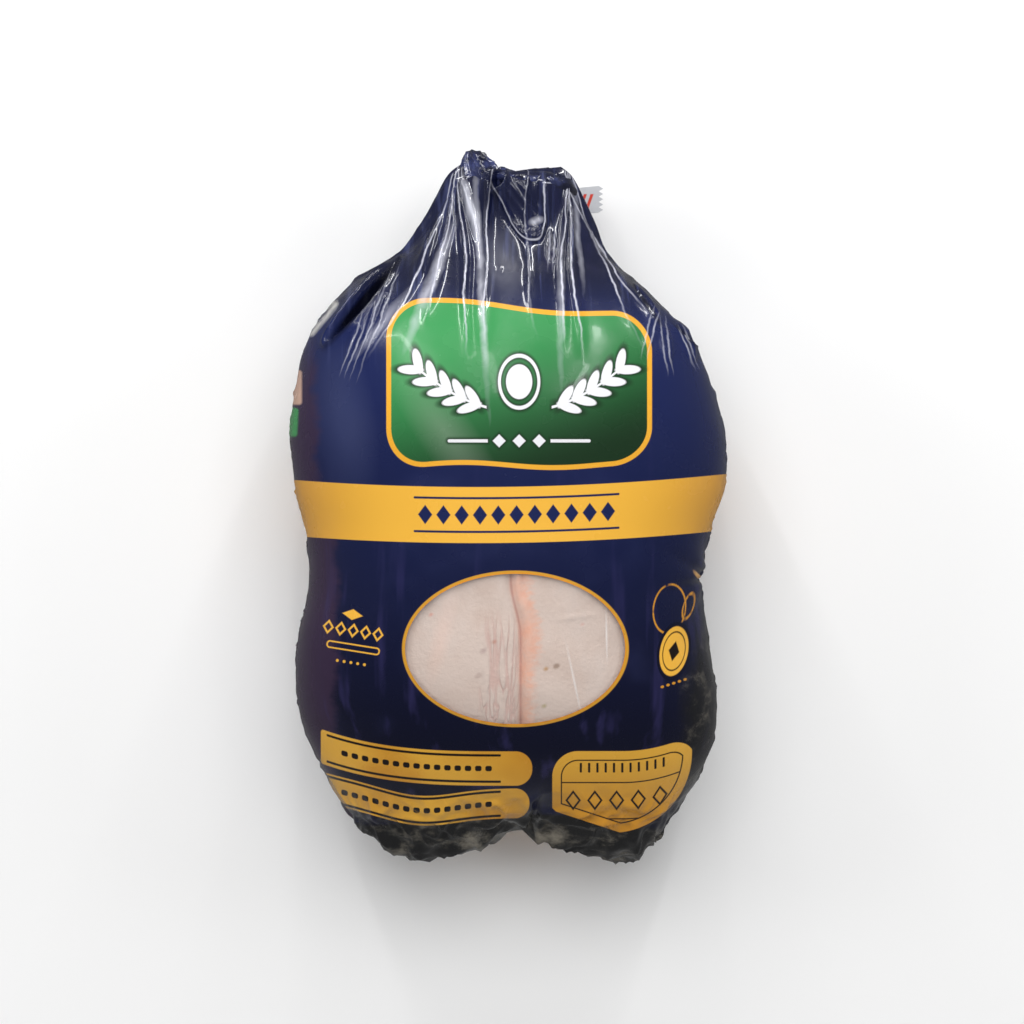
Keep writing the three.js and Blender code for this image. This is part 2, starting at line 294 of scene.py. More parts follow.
def swag(u, v):
    """Slack film that hangs over the front of the gathered neck, its rim slanting."""
    half = (SWAG_RIGHT - SWAG_LEFT + SWAG_SLANT * (v - SWAG_LEVEL)) / 2
    across = (u - SWAG_RIGHT + half) / half
    down = np.minimum(v - SWAG_ROUND, 0) / SWAG_DROP
    share = 1 - (np.abs(across) ** 3 + np.abs(down) ** 3) ** (1 / 3)
    rim = crest(share - 0.05, 0.06)
    slant = u - 4.5 + 0.75 * (v - 108)
    inner = crest(slant, 0.8) + 0.8 * crest(slant - 3.4, 0.7) + 0.7 * crest(slant + 3.2, 0.6)
    hollow = smooth(share, 0.1, 0.4) * (1.6 - inner)
    return (1.2 * smooth(share, -0.03, 0.06) + rim - hollow) * smooth(-v, -117, -112)


def shoulder_folds(u, v):
    """Dark pockets and slack loops of the shoulders."""
    height = np.zeros(u.shape)
    for start, end, half, depth in POCKETS:
        distance = lens(u, v, start, end, half)
        height += 0.35 * depth * crest(distance - 0.7, 0.9) - depth * smooth(-distance, -0.6, 1.0)
    for start, end, half in LOOPS:
        height += 0.8 * crest(lens(u, v, start, end, half), 0.6)
    return height


def pinch(u, v):
    """Small pit on the right side with folds that run to it like spokes."""
    across, along = u - 70, v + 25
    far = np.hypot(across, along)
    spokes = np.abs(np.sin(3.5 * np.arctan2(along, across) + 0.4))
    return 2.4 * np.exp(-far / 9) * spokes - 3.0 * bell(far, 3.2)


def film_height(points, angle):
    """Outward height of the film over the plain form of the filled bag."""
    u, v = as_seen(points)
    middle = heights(points[..., 1])[2]
    front = smooth(points[..., 2] - middle, 1, 12)
    height = back_folds(angle, v) * (1 - front)
    for fold in NECK_FOLDS:
        height = np.maximum(height, neck_fold(u, v, *fold) * front)
    height += (swag(u, v) + shoulder_folds(u, v)) * front
    dimple = bell(u + 3.5, 1.0) * bell(v - 82.5, 0.8)
    height -= 0.4 * dimple * front
    height += pinch(u, v) * smooth(points[..., 2], 20, 34)
    neck = smooth(v, 60, 108)
    foot = smooth(-v, 96, 114)
    sides = smooth(middle - points[..., 2], -20, 14) * (1 - foot) * (1 - neck)
    height += 0.5 * neck * (crumple(points * (1, 0.3, 1), 22, 40) - MEAN_CRUMPLE)
    height += 4.0 * foot * (crumple(points, 12, 60) - MEAN_CRUMPLE)
    groove = crest(u - 7 - 0.3 * (v + 118), 1.6, 0.4)
    height -= 4.0 * foot * groove * front
    tufts = 3.4 * bell(u - 44.4, 2.6) + 3.4 * bell(u - 10, 2.2) - 4.0 * bell(u, 9)
    height += smooth(-v, 110, 117) * tufts
    height += 3.6 * sides * (crumple(points * (1, 1.4, 1), 18, 80) - MEAN_CRUMPLE)
    height += 0.3 * waves(points, 34, 5) * (1 - neck)
    return height * smooth(points[..., 2], 0.5, 7)


def make_mesh(name, points, faces, material):
    """Object from the used points in millimetres, smooth shaded, with its places on the print."""
    used = np.zeros(len(points), bool)
    for group in faces:
        used[np.asarray(group)] = True
    number = np.cumsum(used) - 1
    kept = points[used]
    mesh = bpy.data.meshes.new(name)
    corners = [corner for group in faces for corner in number[np.asarray(group)].tolist()]
    mesh.from_pydata((kept * METRE).tolist(), [], corners)
    mesh.materials.append(material)
    mesh.polygons.foreach_set("use_smooth", [True] * len(mesh.polygons))
    place = mesh.attributes.new("print_place", "FLOAT2", "POINT")
    place.data.foreach_set("vector", np.stack(as_seen(kept), -1).astype(np.float32).ravel())
    mesh.validate()
    piece = bpy.data.objects.new(name, mesh)
    bpy.context.scene.collection.objects.link(piece)
    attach(piece, "root")
    return piece


def grid_faces(rows, sides):
    """Faces of a grid that closes round its second direction, as rows of four corners."""
    near = (np.arange(rows - 1)[:, None] * sides + np.arange(sides)[None, :]).ravel()
    step = (np.arange(sides) + 1) % sides - np.arange(sides)
    right = np.tile(step, rows - 1)
    return np.stack([near, near + right, near + right + sides, near + sides], 1)


def capped(points):
    """Points, four-sided faces and end fans of a grid whose end rings close in a middle point."""
    rows, sides = points.shape[:2]
    ends = np.stack([points[0].mean(0), points[-1].mean(0)])
    flat = np.concatenate([points.reshape(-1, 3), ends])
    side = np.arange(sides)
    following = (side + 1) % sides
    middle = np.full(sides, rows * sides)
    start = (rows - 1) * sides
    first = np.stack([middle, following, side], 1)
    last = np.stack([middle + 1, start + side, start + following], 1)
    return flat, grid_faces(rows, sides), np.concatenate([first, last])


class Shader:
    """Node tree of one material, built from short sums of node sockets and numbers."""

    def __init__(self, name):
        self.material = bpy.data.materials.new(name)
        self.material.use_nodes = True
        self.tree = self.material.node_tree
        self.tree.nodes.clear()
        place = self.node("ShaderNodeAttribute", attribute_name="print_place")
        split = self.node("ShaderNodeSeparateXYZ")
        self.feed(place.outputs["Vector"], split.inputs[0])
        self.u, self.v = split.outputs["X"], split.outputs["Y"]

    def node(self, kind, **settings):
        """New node of a kind, with its settings."""
        made = self.tree.nodes.new(kind)
        for key, value in settings.items():
            setattr(made, key, value)
        return made

    def feed(self, value, socket):
        """Link a socket, or set a number or colour on it."""
        if isinstance(value, bpy.types.NodeSocket):
            self.tree.links.new(value, socket)
        else:
            socket.default_value = value

    def math(self, operation, a, b=0.0, clamp=False):
        made = self.node("ShaderNodeMath", operation=operation, use_clamp=clamp)
        self.feed(a, made.inputs[0])
        self.feed(b, made.inputs[1])
        return made.outputs[0]

    def add(self, a, b):
        return self.math("ADD", a, b)

    def sub(self, a, b):
        return self.math("SUBTRACT", a, b)

    def mul(self, a, b):
        return self.math("MULTIPLY", a, b)

    def low(self, a, b):
        return self.math("MINIMUM", a, b)

    def high(self, a, b):
        return self.math("MAXIMUM", a, b)

    def size(self, a):
        return self.math("ABSOLUTE", a)

    def length(self, a, b):
        """Distance from the origin to a place with these two coordinates."""
        return self.math("SQRT", self.add(self.mul(a, a), self.mul(b, b)))

    def turned(self, x, y, degrees=0.0):
        """Places measured from a point, along directions turned by some degrees."""
        across, along = self.sub(self.u, x), self.sub(self.v, y)
        if not degrees:
            return across, along
        c, s = math.cos(math.radians(degrees)), math.sin(math.radians(degrees))
        return (
            self.add(self.mul(across, c), self.mul(along, s)),
            self.sub(self.mul(along, c), self.mul(across, s)),
        )

    def box(self, place, half_x, half_y, corner):
        """Signed distance to a box with round corners; place is measured from its middle."""
        across = self.sub(self.size(place[0]), half_x - corner)
        along = self.sub(self.size(place[1]), half_y - corner)
        outside = self.length(self.high(across, 0.0), self.high(along, 0.0))
        return self.sub(self.add(outside, self.low(self.high(across, along), 0.0)), corner)

    def oval(self, place, half_x, half_y):
        """Distance to an oval, negative inside; exact only across its narrow side."""
        share = self.length(self.mul(place[0], 1 / half_x), self.mul(place[1], 1 / half_y))
        return self.mul(self.sub(share, 1.0), min(half_x, half_y))

    def lozenge(self, place, half_x, half_y):
        """Distance to a lozenge, negative inside."""
        across = self.mul(self.size(place[0]), 1 / half_x)
        along = self.mul(self.size(place[1]), 1 / half_y)
        return self.mul(self.sub(self.add(across, along), 1.0), 0.7 * min(half_x, half_y))

    def chain(self, place, pitch, count):
        """Place measured from the nearest of an odd count of points in a row."""
        step = self.math("ROUND", self.mul(place[0], 1 / pitch))
        step = self.low(self.high(step, -(count - 1) / 2), (count - 1) / 2)
        return self.sub(place[0], self.mul(step, pitch)), place[1]

    def ring(self, distance, width):
        """Signed distance to a line of some width drawn along an outline."""
        return self.sub(self.size(distance), width / 2)

    def inside(self, distance, soft=0.25):
        """1 where a signed distance is below zero, with a soft edge in millimetres."""
        return self.math("SUBTRACT", 0.5, self.mul(distance, 1 / soft), clamp=True)

    def ramp(self, value, low, high, to_low=0.0, to_high=1.0):
        """Value eased from to_low to to_high as another goes from low to high."""
        made = self.node("ShaderNodeMapRange", interpolation_type="SMOOTHSTEP")
        self.feed(value, made.inputs["Value"])
        limits = {"From Min": low, "From Max": high, "To Min": to_low, "To Max": to_high}
        for socket, number in limits.items():
            made.inputs[socket].default_value = number
        return made.outputs["Result"]

    def paint(self, under, over, mask):
        """One colour laid over another by a mask from 0 to 1."""
        made = self.node("ShaderNodeMix", data_type="RGBA")
        self.feed(mask, made.inputs["Factor"])
        self.feed(under, made.inputs["A"])
        self.feed(over, made.inputs["B"])
        return made.outputs["Result"]

    def noise(self, scale, detail=4.0, roughness=0.55, stretch=(1, 1, 1)):
        """Cloudy noise on the object's own coordinates, its scale counted per metre."""
        sized = self.node("ShaderNodeMapping")
        self.feed(self.node("ShaderNodeTexCoord").outputs["Object"], sized.inputs["Vector"])
        sized.inputs["Scale"].default_value = stretch
        made = self.node("ShaderNodeTexNoise")
        made.inputs["Scale"].default_value = scale
        made.inputs["Detail"].default_value = detail
        made.inputs["Roughness"].default_value = roughness
        self.feed(sized.outputs["Vector"], made.inputs["Vector"])
        return made.outputs["Fac"]

    def on_object(self, axis):
        """Place along one of the object's own axes, in millimetres."""
        split = self.node("ShaderNodeSeparateXYZ")
        self.feed(self.node("ShaderNodeTexCoord").outputs["Object"], split.inputs[0])
        return self.mul(split.outputs[axis], 1 / METRE)

    def bump(self, height, distance, strength):
        """Normal of a surface with small heights; distance is the height of 1, in metres."""
        made = self.node("ShaderNodeBump")
        made.inputs["Strength"].default_value = strength
        made.inputs["Distance"].default_value = distance
        self.feed(height, made.inputs["Height"])
        return made.outputs["Normal"]

    def finish(self, **inputs):
        """The material, its surface made from named inputs of the usual shader."""
        shader = self.node("ShaderNodeBsdfPrincipled")
        for name, value in inputs.items():
            self.feed(value, shader.inputs[name.replace("_", " ")])
        output = self.node("ShaderNodeOutputMaterial")
        self.tree.links.new(shader.outputs[0], output.inputs["Surface"])
        return self.material


class Print(Shader):
    """Printed film: fields of ink laid one over the other."""

    def __init__(self, name, ground):
        super().__init__(name)
        self.ink = ground

    def lay(self, ink, mask):
        """Lay one ink over the print by a mask from 0 to 1."""
        self.ink = self.paint(self.ink, ink, mask)

    def fill(self, ink, distance, soft=0.25):
        """Fill a field, given by its signed distance, with one ink."""
        self.lay(ink, self.inside(distance, soft))


def colour(red, green, blue):
    """Linear colour from an sRGB colour given as 0 to 255."""
    def linear(value):
        value /= 255
        return value / 12.92 if value <= 0.04045 else ((value + 0.055) / 1.055) ** 2.4
    return (linear(red), linear(green), linear(blue), 1.0)


NAVY, DEEP_NAVY, POCKET_SHADE = colour(27, 36, 80), colour(10, 13, 37), colour(5, 6, 18)
VIOLET, PEACH, CREAM = colour(56, 40, 64), colour(200, 164, 146), colour(214, 212, 208)
GOLD, PALE_GOLD, ORANGE = colour(238, 180, 66), colour(240, 200, 106), colour(222, 142, 48)
LEAF_GREEN, DARK_GREEN, WHITE_INK = colour(60, 148, 84), colour(26, 50, 30), colour(226, 226, 230)
SMOKE, SKIN_SEEN_AND_HIGHLIGHT, BLACK_INK = colour(24, 24, 25), colour(178, 170, 154), colour(24, 16, 14)
BRONZE, HIGHLIGHT_INK = colour(212, 146, 44), colour(222, 223, 236)


def navy_ground(p):
    """Navy ink with painted shade towards the foot and in the shoulder pockets, darker over the neck,
    painted sheen and reflection streaks, and violet on the left side.
    """
    # painted shade: the navy darkens towards the foot
    p.lay(DEEP_NAVY, p.ramp(p.v, 58.0, -90.0))
    p.lay(DEEP_NAVY, p.ramp(p.v, 60.0, 84.0, 0.0, 0.8))
    p.lay(colour(60, 66, 112), p.mul(p.ramp(p.noise(22.0, 3.0), 0.5, 0.8), 0.3))
    sway = p.mul(p.sub(p.noise(60.0, 3.0, stretch=(1, 2.4, 1)), 0.5), 9.0)
    left = p.add(p.add(p.u, sway), p.ramp(p.v, 14.0, -8.0, 67.0, 60.0))
    p.lay(VIOLET, p.mul(p.ramp(left, 2.0, -2.5), p.ramp(p.v, 66.0, 40.0, 0.0, 0.85)))
    # painted sheen: a soft pale patch on the left side
    sheen = p.oval(p.turned(-57.0, 30.0, 8), 7.0, 20.0)
    p.lay(colour(72, 80, 118), p.mul(p.inside(sheen, 9.0), 0.35))
    # painted reflection: faint vertical streaks, stronger lower down
    reflection_streaks = p.ramp(p.noise(110.0, 3.0, stretch=(1, 0.12, 1)), 0.56, 0.72)
    p.lay(colour(58, 54, 104), p.mul(reflection_streaks, p.ramp(p.v, 20.0, -60.0, 0.1, 0.4)))
    # painted sheen: fine pale vertical streaks over the neck
    fine = p.ramp(p.noise(300.0, 3.0, 0.6, stretch=(1, 0.08, 0.08)), 0.5, 0.75)
    p.lay(colour(84, 92, 140), p.mul(fine, p.ramp(p.v, 40.0, 72.0, 0.0, 0.5)))
    # painted shade: near-black navy laid in the shoulder pockets
    pockets = ((-50.5, 71.5, 17.0, 49.5), (48.3, 71, 5.6, -55), (62.5, 59.5, 3.6, -45))
    for x, y, half, degrees in pockets:
        pocket = p.oval(p.turned(x, y, degrees), half, 0.11 * half)
        p.fill(POCKET_SHADE, pocket, 1.4)


def side_prints(p):
    """What shows of the prints that run round the sides."""
    wear_and_highlight = p.ramp(p.noise(110.0, 4.0), 0.34, 0.6)
    p.lay(CREAM, p.mul(wear_and_highlight, p.inside(p.box(p.turned(-65.2, 66.0, 50), 7.6, 1.6, 1.4), 1.6)))
    p.lay(CREAM, p.mul(wear_and_highlight, p.inside(p.box(p.turned(64.9, 61.5, -50), 7.6, 0.8, 0.7), 1.0)))
    p.fill(PEACH, p.box(p.turned(-78.4, 41.5), 6.2, 6.0, 1.0), 0.8)
    p.fill(LEAF_GREEN, p.box(p.turned(-78.8, 29.5, -3), 5.2, 5.0, 1.0), 0.8)
    p.fill(colour(204, 156, 92), p.oval(p.turned(67.0, -25.0, -50), 2.8, 0.7), 0.5)
    beyond = p.sub(p.size(p.u), 92.0)
    rows = p.chain(p.turned(0, 30)[::-1], 9.0, 5)
    p.fill(PALE_GOLD, p.high(p.sub(p.size(rows[0]), 0.45), p.sub(p.size(beyond), 11.0)))


def laurel(p, mirrored):
    """Signed distance to a plain laurel of two branches; mirrored is the distance from its middle."""
    curve, stem_v, leaf_half = 0.012, 33.0, 3.1
    stem = p.sub(p.v, p.add(p.mul(p.mul(mirrored, mirrored), curve), stem_v))
    reach = p.sub(p.size(p.sub(mirrored, 24.0)), 12.6)
    marks = p.high(p.sub(p.size(stem), 0.45), reach)
    for leaf in range(5):
        x = 14.5 + 5.1 * leaf
        rise = math.degrees(math.atan(2 * curve * x))
        for side in (-1, 1):
            lean = rise + side * 38
            c, s = math.cos(math.radians(lean)), math.sin(math.radians(lean))
            du = p.sub(mirrored, x + leaf_half * c)
            dv = p.sub(p.v, stem_v + curve * x * x + leaf_half * s)
            turned = p.add(p.mul(du, c), p.mul(dv, s)), p.sub(p.mul(dv, c), p.mul(du, s))
            marks = p.low(marks, p.oval(turned, 4.5, 1.6))
    return marks


def green_panel(p):
    """Green panel with a golden rim, its upper edge slanting, and a plain laurel on it."""
    slant = p.mul(p.mul(p.sub(p.u, 6.0), 0.072), p.ramp(p.v, 14.0, 66.0))
    sway = p.mul(p.math("SINE", p.mul(p.u, 0.1)), 0.9)
    across, along = p.turned(3.9, 41.8)
    panel = p.box((across, p.add(along, p.add(slant, sway))), 46.5, 28.3, 14.0)
    # painted light and shade: the green is lit at the upper left and shaded towards the lower right
    shade = p.ramp(p.add(p.mul(p.sub(p.u, 4.0), 0.35), p.sub(42.0, p.v)), -32.0, 34.0)
    p.fill(colour(232, 168, 52), panel)
    p.fill(p.paint(LEAF_GREEN, DARK_GREEN, shade), p.add(panel, 1.7))
    # painted highlight: a faint pale glare on the left of the panel
    pale = p.mul(p.inside(p.oval(p.turned(-22.0, 26.0, 35), 4.0, 14.0), 12.0), 0.2)
    p.lay(colour(196, 206, 190), p.mul(pale, p.inside(p.add(panel, 1.7))))

    mirrored = p.size(across)
    egg = p.oval((across, p.sub(p.v, 43.5)), 7.4, 9.8)
    egg = p.high(egg, p.sub(0.9, p.size(p.add(egg, 1.9))))
    on_rule = across, p.sub(p.v, 22.8)
    rule = p.high(p.box(on_rule, 25.0, 0.55, 0.5), p.sub(11.0, mirrored))
    gems = p.lozenge(p.chain(on_rule, 7.0, 3), 2.3, 2.3)
    marks = p.low(p.low(egg, laurel(p, mirrored)), p.low(rule, gems))
    p.fill(DARK_GREEN, p.sub(marks, 0.6), 1.0)
    p.fill(WHITE_INK, marks)


def golden_band(p):
    """Golden band all round, with a row of lozenges between two rules."""
    sweep = p.add(p.mul(p.mul(p.u, p.u), 0.0006), p.mul(p.u, 0.013))
    along = p.add(p.sub(p.v, sweep), 3.1)
    edge = p.ramp(p.size(p.u), 40.0, 90.0)
    p.fill(p.paint(GOLD, colour(206, 146, 60), edge), p.sub(p.size(along), 9.8))
    place = p.sub(p.u, 3.0), along
    gems = p.lozenge(p.chain(place, 6.4, 11), 2.5, 3.4)
    rules = p.box((place[0], p.sub(p.size(along), 5.9)), 36.0, 0.4, 0.3)
    p.fill(NAVY, p.low(gems, rules))


def window_rim(p):
    """Golden rim round the window with a thin orange line in it."""
    rim = p.oval(p.turned(2.6, -50.0), 39.7, 27.4)
    p.fill(colour(206, 150, 50), rim)
    p.fill(ORANGE, p.ring(p.add(rim, 0.85), 0.35))


def left_ornament(p):
    """Small golden ornament beside the window: gems over a slim frame and five dots."""
    tilt = -9
    gem = p.lozenge(p.turned(-54.4, -38.0, tilt), 3.6, 1.9)
    row = p.lozenge(p.chain(p.turned(-54.2, -43.6, tilt), 4.4, 5), 2.0, 2.6)
    rule = p.box(p.turned(-54.2, -49.6, tilt), 9.2, 1.1, 1.0)
    gem = p.low(gem, p.low(p.ring(p.add(row, 0.3), 0.55), p.ring(rule, 0.5)))
    dots = p.oval(p.chain(p.turned(-55.0, -54.8, tilt), 2.4, 5), 0.5, 0.5)
    p.fill(GOLD, p.low(gem, dots))


def right_ornament(p):
    """Thin golden curls and a plain oval badge on the right side."""
    curl = p.ring(p.oval(p.turned(56.5, -36.0, -8), 5.6, 8.6), 0.45)
    curl = p.low(curl, p.ring(p.oval(p.turned(63.2, -35.0, -18), 1.7, 4.6), 0.4))
    p.lay(BRONZE, p.mul(p.inside(curl, 0.3), p.ramp(p.noise(220.0, 2.0), 0.3, 0.5)))
    badge = p.oval(p.turned(58.1, -50.8, -11), 4.9, 8.8)
    p.fill(DEEP_NAVY, p.sub(badge, 0.9))
    p.fill(GOLD, badge)
    p.fill(BLACK_INK, p.ring(p.add(badge, 1.1), 0.3))
    p.fill(BLACK_INK, p.lozenge(p.turned(58.1, -50.8, -11), 1.9, 3.6))
    p.fill(BRONZE, p.oval(p.chain(p.turned(58.0, -62.0, 18), 2.1, 5), 0.6, 0.45))


def banners(p):
    """Two golden banners that curve over the lower left side, with dark rules."""
    far = p.size(p.u)
    bend = p.mul(p.mul(p.mul(far, far), far), 0.000028)
    offset = p.mul(p.add(p.u, 31.0), 1 / 17)
    sag = p.mul(p.math("EXPONENT", p.mul(p.math("POWER", offset, 2.0), -1.0)), 3.2)
    for middle, right, half_y, line, rule_gap in (
        (-91.9, 8.5, 6.0, p.sub(p.v, bend), 4.6),
        (-104.0, 7.5, 5.2, p.sub(p.add(p.v, sag), p.mul(bend, 0.75)), 4.2),
    ):
        along = p.sub(line, middle)
        round_end = p.box((p.sub(p.u, right - 20), along), 20.0, half_y, half_y - 0.2)
        body = p.box((p.add(p.u, 32.0), along), 33.5, half_y, 1.0)
        shade = p.ramp(p.noise(30.0, 2.0), 0.35, 0.7)
        p.fill(p.paint(GOLD, BRONZE, shade), p.low(round_end, body))
        rules = p.box((p.add(p.u, 33.0), p.sub(p.size(along), rule_gap)), 30.5, 0.42, 0.3)
        beads = p.chain((p.add(p.u, 32.0), along), 3.6, 15)
        p.fill(BLACK_INK, p.low(rules, p.box(beads, 1.15, 0.95, 0.7)))


def label(p):
    """Golden field on the lower right with a cut corner and plain dark rules."""
    past = p.high(p.sub(p.u, 40.0), 0.0)
    line = p.sub(p.v, p.mul(p.mul(past, past), 0.0095))
    field = p.box((p.sub(p.u, 40.4), p.add(line, 100.0)), 24.9, 14.2, 9.0)
    square = p.box((p.sub(p.u, 42.0), p.add(line, 104.0)), 26.4, 10.0, 1.0)
    field = p.low(field, p.high(square, p.sub(15.6, p.u)))
    field = p.high(field, p.sub(p.length(p.sub(p.u, 36.0), p.add(p.v, 86.0)), 28.4))
    field = p.high(field, p.sub(p.mul(p.sub(15.2, p.u), 0.311), p.mul(p.add(p.v, 106.4), 0.95)))
    field = p.high(field, p.sub(p.u, 65.2))
    p.fill(p.paint(GOLD, BRONZE, p.ramp(p.v, -84.0, -116.0)), field)
    inner = p.add(field, 3.2)
    rules = p.sub(p.size(inner), 0.22)
    for y in (-96.8, -109.5, -111.4):
        rules = p.low(rules, p.high(p.sub(p.size(p.sub(line, y)), 0.22), inner))
    strokes = p.box(p.chain((p.sub(p.u, 40.0), p.add(line, 91.6)), 2.9, 11), 0.4, 1.7, 0.3)
    gems = p.lozenge(p.chain((p.sub(p.u, 38.0), p.add(line, 103.0)), 7.6, 5), 2.3, 3.0)
    rules = p.low(rules, p.low(strokes, p.ring(gems, 0.6)))
    p.fill(BLACK_INK, rules)


def back_print(p):
    """Plain rimmed panel on the side that the pack lies on."""
    under = p.ramp(p.on_object("Z"), 6.0, 4.0)
    across = p.sub(p.size(p.u), 45.0)
    panel = p.box((across, p.sub(p.v, 44.0)), 34.0, 22.0, 8.0)
    p.lay(PALE_GOLD, p.mul(under, p.inside(panel)))
    p.lay(WHITE_INK, p.mul(under, p.inside(p.add(panel, 1.6))))
    rows = p.chain((p.sub(p.v, 44.0), across), 5.0, 7)
    lines = p.high(p.sub(p.size(rows[0]), 0.5), p.sub(across, 28.0))
    p.lay(NAVY, p.mul(under, p.inside(lines)))


def clear_foot(p):
    """Unprinted smoky film at the foot and along the lower right side, its pale patches partly skin
    seen through it and partly painted highlights.
    """
    # pale patches: partly skin seen through the film, partly painted highlights
    cloud = p.ramp(p.noise(62.0, 5.0, 0.65, stretch=(1, 1.6, 1)), 0.48, 0.76)
    dip = p.mul(p.size(p.sub(p.u, 2.0)), -0.11)
    edge = p.add(p.add(p.v, 106.5), p.sub(p.mul(p.noise(34.0, 2.0), 8.0), p.add(dip, 4.0)))
    p.fill(p.paint(SMOKE, SKIN_SEEN_AND_HIGHLIGHT, p.mul(cloud, 0.65)), edge, 1.5)
    side = p.sub(p.add(p.u, p.mul(p.noise(38.0, 3.0), 14.0)), p.ramp(p.v, -80.0, -34.0, 69.0, 76.0))
    right = p.mul(p.inside(p.mul(side, -1.0), 6.0), p.ramp(p.v, -24.0, -38.0, 0.0, 0.85))
    p.lay(p.paint(SMOKE, SKIN_SEEN_AND_HIGHLIGHT, p.mul(cloud, 0.4)), right)


def fold_line(p, start, middle, end, far):
    """Place across from the crest of a neck fold, and the share of its length."""
    share = p.math("MULTIPLY", p.sub(NECK_Y, p.v), 1 / (NECK_Y - far), clamp=True)
    bend = p.mul(p.mul(share, share), 2 * start - 4 * middle + 2 * end)
    path = p.add(p.add(p.mul(share, 4 * middle - 3 * start - end), start), bend)
    sway = p.mul(p.math("SINE", p.add(p.mul(p.v, 0.19), end)), 0.35)
    return p.sub(p.u, p.add(path, sway)), share


def fold_crests(p):
    """Thin painted highlight lines along the crests of the neck folds, as a mask."""
    wear_and_highlight = 0.0
    for start, middle, end, far, height, _ in NECK_FOLDS:
        across, share = fold_line(p, start, middle, end, far)
        line = p.inside(p.sub(p.size(across), p.add(p.mul(share, 0.3), 0.08)), 0.5)
        fade = p.mul(p.ramp(share, 1.0, 0.6), min(1.0, height / 2.8))
        wear_and_highlight = p.high(wear_and_highlight, p.mul(line, fade))
    return wear_and_highlight


def swag_rim(p):
    """Painted highlight line along the rim of the slack film and the hem beside it, as a mask."""
    level_width = SWAG_RIGHT - SWAG_LEFT - SWAG_LEVEL * SWAG_SLANT
    half = p.mul(p.add(p.mul(p.v, SWAG_SLANT), level_width), 0.5)
    across = p.math("DIVIDE", p.add(p.sub(p.u, SWAG_RIGHT), half), half)
    down = p.mul(p.high(p.sub(SWAG_ROUND, p.v), 0.0), 1 / SWAG_DROP)
    rim = p.add(p.math("POWER", p.size(across), 3.0), p.math("POWER", down, 3.0))
    rim = p.sub(p.math("POWER", rim, 1 / 3), 0.95)
    rim = p.mul(p.inside(p.sub(p.size(rim), 0.02), 0.06), p.ramp(p.v, 115.0, 111.0))
    return p.high(rim, p.inside(p.box(p.turned(16.4, 113.0, -3), 4.2, 0.12, 0.1), 0.5))


def loop_glints(p):
    """Slim glints on both edges of each slack loop, as a mask."""
    wear_and_highlight = 0.0
    for (u, v), (end_u, end_v), half in LOOPS:
        degrees = math.degrees(math.atan2(end_v - v, end_u - u))
        span = math.hypot(end_u - u, end_v - v)
        across, along = p.turned((u + end_u) / 2, (v + end_v) / 2, degrees)
        for side in (-0.7, 0.7):
            glint = p.oval((across, p.sub(along, side * half)), 0.35 * span, 0.15)
            wear_and_highlight = p.high(wear_and_highlight, p.mul(p.inside(glint, 0.6), 0.8))
    return wear_and_highlight


def painted_highlights(p):
    """Painted highlights along the crests of the neck folds, the slack film and the loops, and
    painted sheens on the neck.
    """
    # places across are shaken by noise while these lines are drawn, so that none runs quite straight
    straight = p.u
    p.u = p.add(p.u, p.mul(p.sub(p.noise(95.0, 3.0), 0.5), 2.6))
    wear_and_highlight = p.high(fold_crests(p), p.high(swag_rim(p), loop_glints(p)))
    patchy = p.ramp(p.noise(130.0, 3.0, stretch=(1, 0.3, 1)), 0.3, 0.6, 0.45, 1.0)
    p.lay(HIGHLIGHT_INK, p.mul(wear_and_highlight, patchy))
    for u, v, degrees, half_u, half_v, soft, strength in SHEENS:
        sheen = p.inside(p.oval(p.turned(u, v, degrees), half_u, half_v), soft)
        p.lay(HIGHLIGHT_INK, p.mul(p.mul(sheen, patchy), strength))
    p.u = straight


def printed_film():
    """Glossy navy film with plain fields of colour in the places of the print."""
    p = Print("printed_film", NAVY)
    navy_ground(p)
    side_prints(p)
    green_panel(p)
    golden_band(p)
    window_rim(p)
    left_ornament(p)
    right_ornament(p)
    clear_foot(p)
    banners(p)
    label(p)
    back_print(p)
    painted_highlights(p)
    taut = p.high(p.ramp(p.v, 60.0, 80.0, 0.1, 1.0), p.ramp(p.v, -84.0, -100.0, 0.1, 1.0))
    crushed = p.mul(p.noise(95.0, 3.0, 0.6), p.ramp(p.v, -96.0, -110.0, 1.0, 5.0))
    return p.finish(
        Base_Color=p.ink,
        Roughness=p.ramp(p.noise(60.0, 3.0), 0.3, 0.7, 0.2, 0.3),
        Specular_IOR_Level=0.3,
        Coat_Weight=taut,
        Coat_Roughness=0.04,
        Normal=p.bump(crushed, 0.0004, 0.3),
    )


def plain_film():
    """The same film where it is gathered: navy with paler patches of painted sheen."""
    s = Shader("gathered_film")
    # painted sheen: paler patches over the navy
    wear_and_highlight = s.paint(DEEP_NAVY, colour(64, 72, 120), s.ramp(s.noise(140.0, 3.0), 0.4, 0.75))
    return s.finish(
        Base_Color=wear_and_highlight,
        Roughness=0.2,
        Coat_Weight=1.0,
        Coat_Roughness=0.05,
        Normal=s.bump(s.noise(190.0, 4.0), 0.0006, 0.5),
    )


